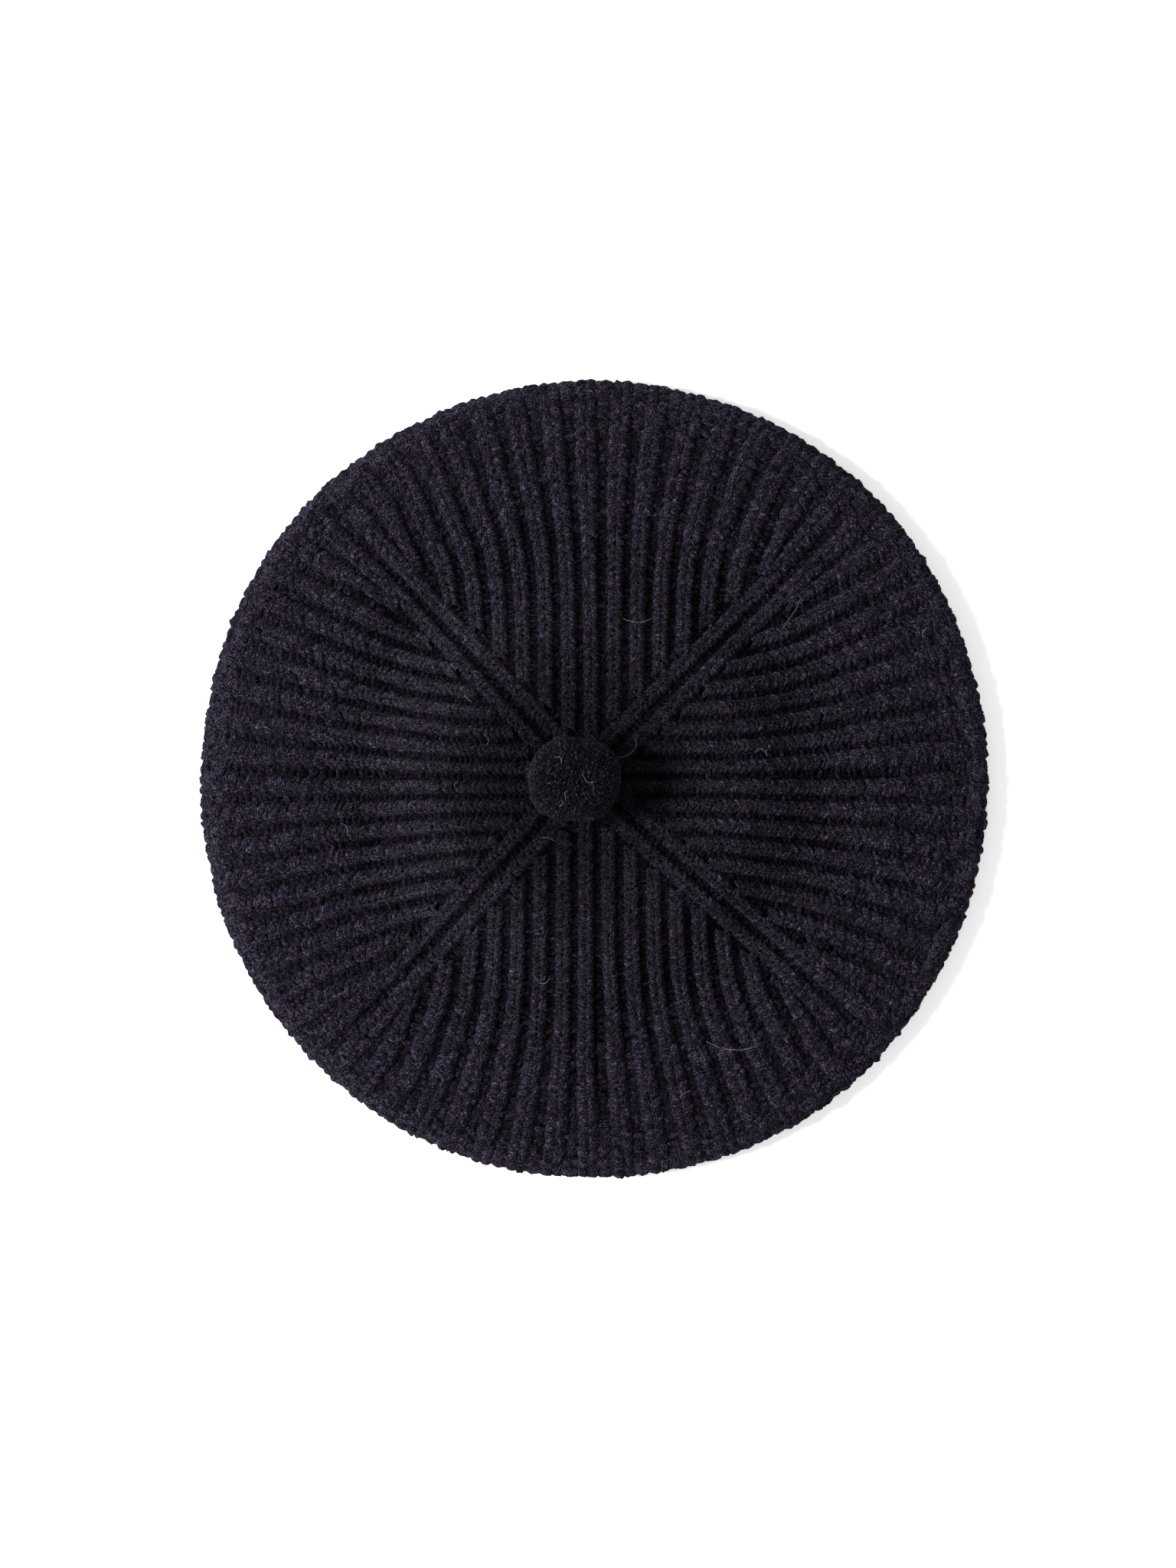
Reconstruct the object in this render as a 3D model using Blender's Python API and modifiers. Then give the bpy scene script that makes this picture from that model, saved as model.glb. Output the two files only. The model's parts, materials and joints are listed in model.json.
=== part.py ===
"""A ribbed wool beret with a pom-pom, lying crown up on a flat surface.

The knitted body is four wedge-shaped gores. Each runs from the crown's centre out over the rim and
back underneath to the headband, and chained yarn joins it to its neighbours along the diagonals. The
headband is one rib strip folded double. The pom-pom is tied round its middle and hangs on two legs of
yarn that pass through the crown to a knot inside.

Metres, +Z up. The origin is under the middle of the outline, on the surface the beret lies on.
+X is the wearer's right, +Y the front and -Y the back, where the headband's ends meet.
"""

import math

import bmesh
import bpy
from mathutils import Matrix, Vector

MM = 0.001
GAP = 0.3 * MM                  # clearance between pieces that touch

# Knitted body
FABRIC = 4.0 * MM               # thickness of the felted rib
OUTER_R = 140 * MM              # radius of the outline
RIM_R = 6.2 * MM                # radius of the rim's rounded edge, seen in section
CROWN_HOLE_R = 3.0 * MM         # left open where the last stitches are drawn together
DIMPLE_Z = 18.0 * MM            # outer face at the crown's centre
PEAK_R = 51 * MM                # ring where the crown lies over the headband
PEAK_Z = 24.5 * MM
FOOT_R = 84 * MM                # where the brim starts to lie flat
BRIM_Z = 12.6 * MM
BRIM_BULGE = 0.8 * MM
LIFT_R = 80 * MM                # where the underside leaves the surface
UNDER_R = 57.6 * MM             # inner edge of the underside
UNDER_Z = 11.6 * MM
GORE_GAP = 0.4 * MM
GORE_STEPS = 10
CENTRE_SHIFT = -3.5 * MM        # the crown's centre has drifted towards -X
SHIFT_REACH = 48 * MM

# Headband
BAND_LAYER = 2.8 * MM
BAND_R = 54.2 * MM              # the slit between the two layers
BAND_SLIT = 0.4 * MM
BAND_TOP = 15.6 * MM
BAND_SPAN = 359.6               # degrees; the strip's two ends meet at the back

# Yarns
SEAM_YARN = 1.2 * MM
CHAIN_YARN = 1.2 * MM
BACK_YARN = 1.0 * MM
GATHER_YARN = 1.2 * MM
GATHER_R = 5.0 * MM
TIE_YARN = 1.2 * MM
SHANK_YARN = 1.6 * MM
LABEL_THREAD = 0.6 * MM

# Pom-pom
POM_RADIUS = 16.5 * MM          # across X and Z before it is squashed
POM_HALF_WIDTH = 15.0 * MM      # half its size along Y
POM_SQUASH = 0.94
POM_LIFT = 2.4 * MM             # the pile starts this far above the crown
POM_LEAN = 10                   # degrees towards -X
POM_CORE_R = 3.0 * MM           # the strands where the binding pinches them
SLOT_HALF = 1.0 * MM            # half the cleft that the binding and the legs lie in
BINDING_R = 4.0 * MM
BINDING_YARN = 1.4 * MM
LEG_SPACING = 0.8 * MM
KNOT_RADIUS = 3.2 * MM
KNOT_SQUASH = 0.62
TAIL_LENGTH = 15 * MM

# Label
LABEL_SPAN = 19                 # degrees of the headband's inner face
LABEL_THICK = 0.5 * MM
LABEL_LOW = 3.5 * MM
LABEL_HIGH = 13.5 * MM

WOOL = (0.018, 0.016, 0.023)
WOOL_DARK = (0.009, 0.008, 0.012)
SATIN = (0.60, 0.60, 0.57)

for old in list(bpy.data.objects):
    bpy.data.objects.remove(old)

beret = bpy.data.collections.new("beret")
helpers = bpy.data.collections.new("helpers")
bpy.context.scene.collection.children.link(beret)
bpy.context.scene.collection.children.link(helpers)


def material(name, colour, roughness):
    mat = bpy.data.materials.new(name)
    mat.use_nodes = True
    shader = mat.node_tree.nodes["Principled BSDF"]
    shader.inputs["Base Color"].default_value = (*colour, 1)
    shader.inputs["Roughness"].default_value = roughness
    shader.inputs["Metallic"].default_value = 0
    return mat


def place(name, data, colour, roughness=0.95, parent=None, smooth=True):
    """Makes an object of its own, with its own material, in the beret's collection."""
    ob = bpy.data.objects.new(name, data)
    ob.data.materials.append(material(name, colour, roughness))
    beret.objects.link(ob)
    ob.parent = parent
    if smooth and isinstance(data, bpy.types.Mesh):
        data.shade_smooth()
    return ob


def ease(t):
    """Rises from 0 at t = 0 to 1 at t = 1, level at both ends."""
    t = min(max(t, 0), 1)
    return (1 - math.cos(math.pi * t)) / 2


# ---------------------------------------------------------------- sections of the body

def crown_height(r):
    """Height of the crown's outer face at radius r."""
    if r < PEAK_R:
        return DIMPLE_Z + (PEAK_Z - DIMPLE_Z) * ease(r / PEAK_R)
    if r < FOOT_R:
        return PEAK_Z - (PEAK_Z - BRIM_Z) * ease((r - PEAK_R) / (FOOT_R - PEAK_R))
    t = (r - FOOT_R) / (OUTER_R - RIM_R - FOOT_R)
    return BRIM_Z + (2 * RIM_R - BRIM_Z) * ease(t) + BRIM_BULGE * math.sin(math.pi * t)


def underside_height(r):
    """Height of the underside's lower face at radius r."""
    return UNDER_Z * ease((LIFT_R - r) / (LIFT_R - UNDER_R))


def spread(low, high, count):
    """count + 1 values from low to high."""
    return [low + (high - low) * k / count for k in range(count + 1)]


def body_section():
    """Points (r, z) down the outer face: crown, rim, underside."""
    rim_centre = OUTER_R - RIM_R
    top = spread(CROWN_HOLE_R, PEAK_R, 6) + spread(PEAK_R, FOOT_R, 5)[1:]
    points = [(r, crown_height(r)) for r in top]
    points += [(r, crown_height(r)) for r in spread(FOOT_R, rim_centre, 3)[1:]]
    for turn in spread(0, math.pi, 6)[1:]:
        points.append((rim_centre + RIM_R * math.sin(turn), RIM_R + RIM_R * math.cos(turn)))
    points.append((LIFT_R, 0))
    points += [(r, underside_height(r)) for r in spread(LIFT_R, UNDER_R, 6)[1:]]
    return points


def inset(points, depth):
    """The section's points moved depth to its right, square to its run."""
    moved = []
    for k, (r, z) in enumerate(points):
        before = Vector(points[max(k - 1, 0)])
        after = Vector(points[min(k + 1, len(points) - 1)])
        here = Vector((r, z))
        one = (here - before).normalized() if k > 0 else (after - here).normalized()
        two = (after - here).normalized() if k < len(points) - 1 else one
        run = (one + two).normalized()
        stretch = 1 / max(run.dot(one), 0.5)
        moved.append((r + run.y * depth * stretch, z - run.x * depth * stretch))
    return moved


def drift(point):
    """Moves a point near the crown's centre towards -X, as the crown has slipped."""
    r = math.hypot(point.x, point.y)
    return Vector((point.x + CENTRE_SHIFT * (1 - ease(r / SHIFT_REACH)), point.y, point.z))


def swept_strip(section, depth, degrees, steps, middle):
    """A solid of thickness depth on the section, swept round Z and centred on the angle middle."""
    bm = bmesh.new()
    start = Matrix.Rotation(math.radians(middle - degrees / 2), 3, "Z")
    outer = [bm.verts.new(start @ Vector((r, 0, z))) for r, z in section]
    inner = [bm.verts.new(start @ Vector((r, 0, z))) for r, z in inset(section, depth)]
    for k in range(len(section) - 1):
        bm.faces.new((outer[k], outer[k + 1], inner[k + 1], inner[k]))
    bmesh.ops.spin(
        bm,
        geom=bm.verts[:] + bm.edges[:] + bm.faces[:],
        axis=(0, 0, 1),
        angle=math.radians(degrees),
        steps=steps,
    )
    bmesh.ops.recalc_face_normals(bm, faces=bm.faces)
    return bm


def to_mesh(bm, name):
    mesh = bpy.data.meshes.new(name)
    bm.to_mesh(mesh)
    bm.free()
    return mesh


def yarn(name, points, thickness, colour=WOOL, parent=None, sides=1):
    """A run of yarn through the points, with closed ends."""
    curve = bpy.data.curves.new(name, "CURVE")
    curve.dimensions = "3D"
    curve.bevel_depth = thickness / 2
    curve.bevel_resolution = sides
    curve.use_fill_caps = True
    spline = curve.splines.new("POLY")
    spline.points.add(len(points) - 1)
    for slot, point in zip(spline.points, points):
        slot.co = (*point, 1)
    return place(name, curve, colour, parent=parent)


def yarn_ring(name, radius, thickness, z, turns, colour=WOOL, parent=None):
    """A closed ring of yarn round Z."""
    bpy.ops.mesh.primitive_torus_add(
        major_radius=radius,
        minor_radius=thickness / 2,
        major_segments=turns,
        minor_segments=8,
        location=(0, 0, 0),
    )
    made = bpy.context.object
    mesh = made.data
    bpy.data.objects.remove(made)
    ob = place(name, mesh, colour, parent=parent)
    ob.location.z = z
    return ob


# ---------------------------------------------------------------- knitted body

QUARTERS = {"right": 0, "front": 90, "left": 180, "rear": 270}
DIAGONALS = {"front_right": 45, "front_left": 135, "rear_left": 225, "rear_right": 315}


def make_gore(name, middle):
    """One quarter of the body, moved out along its middle to leave GORE_GAP at both sides."""
    bm = swept_strip(body_section(), FABRIC, 90, GORE_STEPS, middle)
    away = GORE_GAP / 2 / math.sin(math.radians(45))
    out = Vector((math.cos(math.radians(middle)), math.sin(math.radians(middle)), 0)) * away
    for vert in bm.verts:
        vert.co = drift(vert.co + out)
    return place(name, to_mesh(bm, name), WOOL)


def make_gore_seam(name, angle):
    """The chained yarn on the inside of the body, along one diagonal, up to where the layers close."""
    section = body_section()
    rising = sum(1 for r, z in section if z < UNDER_Z + MM and r < LIFT_R)
    section = inset(section, FABRIC + GAP + SEAM_YARN / 2)[: -rising]
    along = [(r, z) for r, z in section if r > GATHER_R + 3 * MM]
    turn = math.radians(angle)
    points = [drift(Vector((r * math.cos(turn), r * math.sin(turn), z))) for r, z in along]
    return yarn(name, points, SEAM_YARN, WOOL_DARK)


for side, quarter in QUARTERS.items():
    make_gore(f"gore_{side}", quarter)
for side, diagonal in DIAGONALS.items():
    make_gore_seam(f"gore_seam_{side}", diagonal)


# ---------------------------------------------------------------- headband

def make_headband():
    """The rib strip folded double: down the inner layer, round the fold, up the outer layer."""
    inner_r = BAND_R - BAND_SLIT / 2 - BAND_LAYER
    fold_r = BAND_LAYER + BAND_SLIT / 2
    section = [(BAND_R - fold_r, BAND_TOP), (inner_r, (BAND_TOP + fold_r) / 2)]
    for turn in spread(0, math.pi, 6):
        section.append((BAND_R - fold_r * math.cos(turn), fold_r - fold_r * math.sin(turn)))
    section += [(BAND_R + fold_r, (BAND_TOP + fold_r) / 2), (BAND_R + fold_r, BAND_TOP)]
    bm = swept_strip(section, -BAND_LAYER, BAND_SPAN, 48, 90)
    return place("headband", to_mesh(bm, "headband"), WOOL)


make_headband()
band_inner_r = BAND_R - BAND_SLIT / 2 - BAND_LAYER
yarn_ring("headband_chain", BAND_R, CHAIN_YARN, BAND_TOP + GAP + CHAIN_YARN / 2, 60, WOOL_DARK)
back_seam_r = band_inner_r - GAP - BACK_YARN / 2
yarn(
    "headband_back_seam",
    [(0, -back_seam_r, z) for z in spread(3 * MM, BAND_TOP - MM, 6)],
    BACK_YARN,
    WOOL_DARK,
)


# ---------------------------------------------------------------- size label, left blank

label_outer_r = back_seam_r - BACK_YARN / 2 - GAP
label_section = [(label_outer_r, z) for z in spread(LABEL_HIGH, LABEL_LOW, 2)]
label = swept_strip(label_section, LABEL_THICK, LABEL_SPAN, 8, 270)
place("size_label", to_mesh(label, "size_label"), SATIN, 0.5)
stitch_r = label_outer_r - LABEL_THICK - GAP - LABEL_THREAD / 2
for side, sign in (("left", -1), ("right", 1)):
    bearing = math.radians(270 + sign * (LABEL_SPAN / 2 - 2))
    run = [
        (stitch_r * math.cos(bearing), stitch_r * math.sin(bearing), z)
        for z in spread(LABEL_LOW + MM, LABEL_HIGH - MM, 4)
    ]
    yarn(f"label_stitch_{side}", run, LABEL_THREAD, SATIN)


# ---------------------------------------------------------------- pom-pom and its tie

def helper(name, location, parent=None):
    empty = bpy.data.objects.new(name, None)
    empty.empty_display_size = 0.02
    helpers.objects.link(empty)
    empty.location = location
    empty.parent = parent
    return empty


pivot = Vector((CENTRE_SHIFT, 0, DIMPLE_Z - FABRIC / 2))
tie_axis = helper("pompom_tie_axis", pivot)
pom_axis = helper("pompom_axis", (0, 0, 0), tie_axis)
pom_axis.rotation_euler.y = -math.radians(POM_LEAN)
pom_height = FABRIC / 2 + POM_LIFT + POM_RADIUS * POM_SQUASH


def make_pile():
    """The ball of cut yarn, turned about Y, with the cleft that the binding lies in."""
    mesh = bpy.data.meshes.new("pompom_pile")
    bm = bmesh.new()
    tilt = math.asin(SLOT_HALF / POM_HALF_WIDTH)
    half = []
    for angle in spread(0, math.pi / 2 - tilt, 7):
        half.append((POM_RADIUS * math.sin(angle), POM_HALF_WIDTH * math.cos(angle)))
    half += [(POM_CORE_R, SLOT_HALF)]
    outline = half + [(r, -y) for r, y in reversed(half)]
    verts = [bm.verts.new((r, 0, y)) for r, y in outline]
    for one, two in zip(verts, verts[1:]):
        bm.edges.new((one, two))
    bm.to_mesh(mesh)
    bm.free()
    ob = place("pompom_pile", mesh, WOOL_DARK, parent=pom_axis)
    screw = ob.modifiers.new("turn", "SCREW")
    screw.angle = math.radians(360)
    screw.steps = 28
    screw.render_steps = 28
    screw.use_merge_vertices = True
    screw.merge_threshold = 0.00001
    screw.use_smooth_shade = True
    ob.matrix_local = (
        Matrix.Translation((0, 0, pom_height))
        @ Matrix.Diagonal((1, 1, POM_SQUASH, 1))
        @ Matrix.Rotation(math.radians(90), 4, "X")
    )
    return ob


make_pile()
binding = yarn_ring("pompom_binding", BINDING_R, BINDING_YARN, pom_height, 28, WOOL_DARK, pom_axis)
binding.rotation_euler.x = math.radians(90)
leg_top = pom_height - BINDING_R - BINDING_YARN / 2 - GAP
lean = Matrix.Rotation(-math.radians(POM_LEAN), 3, "Y")
for side, sign in (("left", -1), ("right", 1)):
    leg = [lean @ Vector((sign * LEG_SPACING, 0, z)) for z in spread(0.8 * MM, leg_top, 5)]
    yarn(f"pompom_tie_leg_{side}", leg, TIE_YARN, WOOL_DARK, tie_axis)

# Inside the crown: the drawn-up stitches' yarn, the tie's shank, its knot and its two cut ends.
inner_z = DIMPLE_Z - FABRIC
gather_z = inner_z - GAP - GATHER_YARN / 2
gather = yarn_ring("crown_gather_yarn", GATHER_R, GATHER_YARN, gather_z, 28, WOOL_DARK)
gather.location.x = CENTRE_SHIFT
shank_low = inner_z - GATHER_YARN - 2.2 * MM
yarn(
    "pompom_tie_shank",
    [(CENTRE_SHIFT, 0, z) for z in spread(shank_low, pivot.z - 0.5 * MM, 3)],
    SHANK_YARN,
    WOOL_DARK,
)
knot_z = shank_low - GAP - KNOT_RADIUS * KNOT_SQUASH
bpy.ops.mesh.primitive_uv_sphere_add(segments=16, ring_count=10, radius=KNOT_RADIUS)
knot_mesh = bpy.context.object.data
bpy.data.objects.remove(bpy.context.object)
knot = place("pompom_tie_knot", knot_mesh, WOOL_DARK)
knot.location = (CENTRE_SHIFT, 0, knot_z)
knot.scale.z = KNOT_SQUASH
for side, sign in (("front", 1), ("rear", -1)):
    tail = []
    for t in spread(0, 1, 8):
        out = KNOT_RADIUS + GAP + TIE_YARN / 2 + TAIL_LENGTH * t
        x = CENTRE_SHIFT + sign * 3 * MM * ease(t)
        tail.append((x, sign * out, knot_z + 1.2 * MM * math.sin(math.pi * t)))
    yarn(f"pompom_tie_tail_{side}", tail, TIE_YARN, WOOL_DARK)
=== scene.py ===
"""The look of the ribbed wool beret: knitted stitches, fuzz, the pom-pom's cut pile, light and camera.

Lengths in this file are millimetres, and become metres when a mesh is made. The knit is laid out from
above: each quarter's ribs run parallel from the diagonals outwards, then swing out to the radii, go over
the rim and back underneath to the headband.
"""

import json
import math

import bpy
import numpy as np
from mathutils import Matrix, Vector
from mathutils.kdtree import KDTree


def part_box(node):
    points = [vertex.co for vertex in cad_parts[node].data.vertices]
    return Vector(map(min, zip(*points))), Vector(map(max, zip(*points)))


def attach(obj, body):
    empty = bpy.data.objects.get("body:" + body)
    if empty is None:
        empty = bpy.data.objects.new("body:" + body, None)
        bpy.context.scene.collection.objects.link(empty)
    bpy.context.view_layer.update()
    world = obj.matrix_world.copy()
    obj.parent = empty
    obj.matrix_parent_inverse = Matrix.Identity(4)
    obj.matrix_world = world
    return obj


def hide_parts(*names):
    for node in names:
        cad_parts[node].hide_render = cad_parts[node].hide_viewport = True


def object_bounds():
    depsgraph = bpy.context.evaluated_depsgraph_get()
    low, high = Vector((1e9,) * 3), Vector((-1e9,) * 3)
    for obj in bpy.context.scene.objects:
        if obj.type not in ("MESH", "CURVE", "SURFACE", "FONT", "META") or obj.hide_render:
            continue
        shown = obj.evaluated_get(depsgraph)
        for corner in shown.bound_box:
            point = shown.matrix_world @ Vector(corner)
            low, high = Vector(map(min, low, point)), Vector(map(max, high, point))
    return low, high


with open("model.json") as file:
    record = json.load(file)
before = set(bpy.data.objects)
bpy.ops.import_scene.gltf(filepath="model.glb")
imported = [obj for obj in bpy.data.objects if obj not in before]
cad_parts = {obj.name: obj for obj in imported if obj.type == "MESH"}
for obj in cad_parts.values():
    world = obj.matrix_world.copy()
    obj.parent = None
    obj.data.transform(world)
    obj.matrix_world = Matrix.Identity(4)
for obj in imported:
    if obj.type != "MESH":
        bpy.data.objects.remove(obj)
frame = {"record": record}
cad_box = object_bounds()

MM = 0.001
rng = np.random.default_rng(41)

# ---- sizes

# The body's section, as the CAD gores have it
OUTER = (cad_box[1].x - cad_box[0].x) / 2 / MM
RIM = 6.2
RIM_START = OUTER - RIM
FABRIC = 4.0
DIMPLE_Z = 18.0
PEAK_R, PEAK_Z = 51.0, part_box("gore_right")[1].z / MM
FOOT_R, BRIM_Z, BULGE = 84.0, 12.6, 0.8
LIFT_R, UNDER_R, UNDER_Z = 80.0, 57.9, 11.6
DIMPLE_REACH = 48.0
CENTRE = np.array([-3.5, 0.5])  # where the ribs converge
HOLE_R, GATHERS = 2.2, 22  # the hole the tie passes through, and the folds drawn in round it

# Each quarter: its axis, the diagonals either side in degrees, how many ribs it has, where the middle of
# them lies across the axis, and their pitch near the centre and at the turn
QUARTERS = {
    "right": (0, (-42.9, 46.3), 18, 1.1, (6.7, 7.9)),
    "front": (90, (46.3, 134.2), 17, 0.9, (8.0, 8.3)),
    "left": (180, (134.2, 225.9), 19, 2.6, (6.4, 7.9)),
    "rear": (270, (225.9, 317.1), 18, 1.1, (7.9, 8.2)),
}
SWAY = {"right": 0.2, "front": 1.0, "left": 0.8, "rear": 0.3}  # of the middle ribs at the rim, degrees
DIAGONAL_PITCH = 8.0  # between the two ribs that follow a diagonal
TURN_START, TURN_END = 86.0, 104.0  # where the parallel ribs swing out to the radii
BEND_WIDTH = 0.16  # how gently they do so
MIDDLE_SPREAD = 0.05  # ribs stand this much wider apart mid-quarter
PLAN_SCALE = 0.0025  # the outline bulges this much at the diagonals
PLAN_GROW, PLAN_TALL = 0.0075, 0.0065  # and is this much fuller, most of it along Y

# Stitches: their length on the crown and on the brim; and, for each leg of a stitch, its lift, thickness,
# points along it, reach in stitches, spread in rib widths and bluntness
INNER_STITCH, OUTER_STITCH = 2.05, 4.4
CROWN_LEG = (0, 0.66, 8, 1.25, (0.05, 0.50), 0.62)
BRIM_LEG = (0.1, 0.44, 9, 0.70, (0.03, 0.46), 0.88)
UNDERSIDE_LEG = (-0.1, 0.44, 6, 0.70, (0.03, 0.46), 0.88)
SIDES, UNDERSIDE_SIDES = 8, 6  # of the tubes that the stitches are
PLY, ROUGH = 0.15, 0.07  # how far the two strands swell a stitch, and how uneven it is
TUBE_FLAT = 0.88  # a tube's height over its width
TABLE_GAP = 0.05  # no stitch or fibre comes closer to the table
RIB_CREST = 0.5  # the ribs stand this far out of the CAD surface
RIB_DROP = 1.7  # the fall from a rib's crest to its sides
VALLEY = -2.3  # the purl bumps' depth in the valleys
DEEP, DEEP_SHADE = -2.6, 0.08  # where the painted shade of the valleys is darkest, and how dark it is there
PAINTED_POMPOM_SHADE = 0.33  # how dark the painted shade makes the knit round the pom-pom, where the dimple and the pom-pom's shadow are

# Headband
BAND_R, BAND_TOP, BAND_THICK = 54.2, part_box("headband")[1].z / MM, 6.0
BAND_RIBS, BAND_STITCH = 72, 2.0

# Fibres
YARN_TURN = 3.6  # one turn of the yarn's twist
FUZZ_COUNT, FUZZ_PARTS = 260000, 2  # on the whole knit, and the objects that each quarter's are in
RIM_FUZZ_COUNT = 16000  # in each quarter
HAIR = 0.06  # the width of a fibre
LUMPS = 0.16  # how lumpy the spun wool is, as a share of its radius
STRAY_WIDTH = 0.10
# Stray fibres: where each one starts, its length, its bearing in degrees and how far it turns
STRAYS = (
    (9.5, 57, 13, -25, 65), (73, 64, 11, 262, -35), (14, 15, 14, 300, -130), (39, -92.5, 21, -32, 70),
    (119, 54, 5, 200, 110), (-14, -22, 6, 130, 80), (-38, 12, 4, 60, 90), (-47, 48, 5, 20, 120),
    (-46, 30, 4, 300, 70), (91, -79, 5, 0, 100), (-88, -20, 6, 60, 100), (-20, -72, 6, 330, 110),
    (34, -110, 5, 190, 80), (61, 8, 5, 95, 75),
)


# ---- surface of the body

def smooth(low, high, x):
    t = np.clip((x - low) / (high - low), 0, 1)
    return t * t * (3 - 2 * t)


def unit(vectors):
    return vectors / np.linalg.norm(vectors, axis=-1, keepdims=True)


def polar(r, angle):
    return np.stack([r * np.cos(angle), r * np.sin(angle)], -1)


def ease(t):
    return (1 - np.cos(np.pi * np.clip(t, 0, 1))) / 2


def waves(x, y):
    """The slow unevenness of a soft hat lying on a table."""
    return (
        0.45 * np.sin(x / 23 + 1.3) * np.sin(y / 29 + 0.4)
        + 0.30 * np.sin((x + 0.6 * y) / 15 + 0.7)
        + 0.22 * np.sin((y - 0.8 * x) / 11 + 2.1)
    )


def crown_height(x, y):
    """Height of the crown's outer face at the plan point x, y."""
    r = np.hypot(x, y)
    slip = 1 - ease(r / DIMPLE_REACH)
    r = np.hypot(x - CENTRE[0] * slip, y - CENTRE[1] * slip)
    near = DIMPLE_Z + (PEAK_Z - DIMPLE_Z) * ease(r / PEAK_R)
    slope = PEAK_Z - (PEAK_Z - BRIM_Z) * ease((r - PEAK_R) / (FOOT_R - PEAK_R))
    t = np.clip((r - FOOT_R) / (RIM_START - FOOT_R), 0, 1)
    brim = BRIM_Z + (2 * RIM - BRIM_Z) * ease(t) + BULGE * np.sin(np.pi * t)
    z = np.where(r < PEAK_R, near, np.where(r < FOOT_R, slope, brim))
    return z + waves(x, y) * (1 - smooth(112, RIM_START, r))


def crown_normal(x, y):
    step = 0.4
    dx = (crown_height(x + step, y) - crown_height(x - step, y)) / (2 * step)
    dy = (crown_height(x, y + step) - crown_height(x, y - step)) / (2 * step)
    return unit(np.stack([-dx, -dy, np.ones_like(dx)], -1))


def rim_and_underside():
    """Points r, z and the outward normal, from the top of the rim round and in to the headband."""
    turn = np.linspace(0, np.pi, 27)
    arc = np.stack([RIM_START + RIM * np.sin(turn), RIM + RIM * np.cos(turn)], -1)
    r = np.linspace(RIM_START, UNDER_R, 150)[1:]
    under = np.stack([r, UNDER_Z * ease((LIFT_R - r) / (LIFT_R - UNDER_R))], -1)
    line = np.concatenate([arc, under])
    run = np.gradient(line, axis=0)
    return line, unit(np.stack([-run[:, 1], run[:, 0]], -1))


MERIDIAN, MERIDIAN_NORMAL = rim_and_underside()
MERIDIAN_RUN = np.concatenate([[0], np.cumsum(np.linalg.norm(np.diff(MERIDIAN, axis=0), axis=1))])


def stretch_outline(points):
    """The outline is not quite round: fullest along Y and at its diagonals."""
    angle = np.arctan2(points[..., 1], points[..., 0])
    r = np.hypot(points[..., 0], points[..., 1])
    full = PLAN_GROW - PLAN_TALL * np.cos(2 * angle) - PLAN_SCALE * np.cos(4 * angle)
    full = full + 0.0015 * np.cos(7 * angle + 1)
    scale = 1 + full * smooth(90, 140, r)
    return points * np.stack([scale, scale, np.ones_like(scale)], -1)


# ---- rib layout

class Rib:
    """One line of the knit, from the crown to the headband: a rib, or the valley between two ribs.

    outer is 0 where the line runs over the crown, and 1 on the brim and the underside.
    """

    def __init__(self, points, normals, pitch, outer):
        self.run = np.concatenate([[0], np.cumsum(np.linalg.norm(np.diff(points, axis=0), axis=1))])
        self.points = points
        self.normals = normals
        self.pitch = pitch
        self.outer = outer
        self.tangents = unit(np.gradient(points, axis=0))
        self.sides = unit(np.cross(self.normals, self.tangents))
        self.length = self.run[-1]

    def at(self, values, s):
        if values.ndim == 1:
            return np.interp(s, self.run, values)
        return np.stack([np.interp(s, self.run, values[:, k]) for k in range(values.shape[1])], -1)

    def place(self, s, b, c):
        """The point s along the rib, b to its side and c out of the surface."""
        return (
            self.at(self.points, s)
            + self.at(self.sides, s) * b[..., None]
            + self.at(self.normals, s) * c[..., None]
        )


def outer_angle(quarter, index):
    """The bearing of a rib, in radians, once it runs along a radius."""
    _, (low, high), count, _, _ = QUARTERS[quarter]
    t = (index + 0.5) / count
    t = t - MIDDLE_SPREAD * math.sin(2 * math.pi * t) / (2 * math.pi)
    return math.radians(low + t * (high - low) + SWAY[quarter] * math.sin(math.pi * t))


def settle(r):
    """1 on the crown, falling to 0 where a rib has to keep exactly to its bearing."""
    return 1 - smooth(TURN_END, RIM_START - 6, r)


def diagonal_line(degrees):
    """The start and unit direction of the valley along a diagonal."""
    a = math.radians(degrees)
    end = TURN_END * np.array([math.cos(a), math.sin(a)])
    run = end - CENTRE
    return CENTRE, run / np.linalg.norm(run)


def inner_pitch(quarter, u):
    near, far = QUARTERS[quarter][4]
    return near + (far - near) * smooth(35, 92, u)


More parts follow.
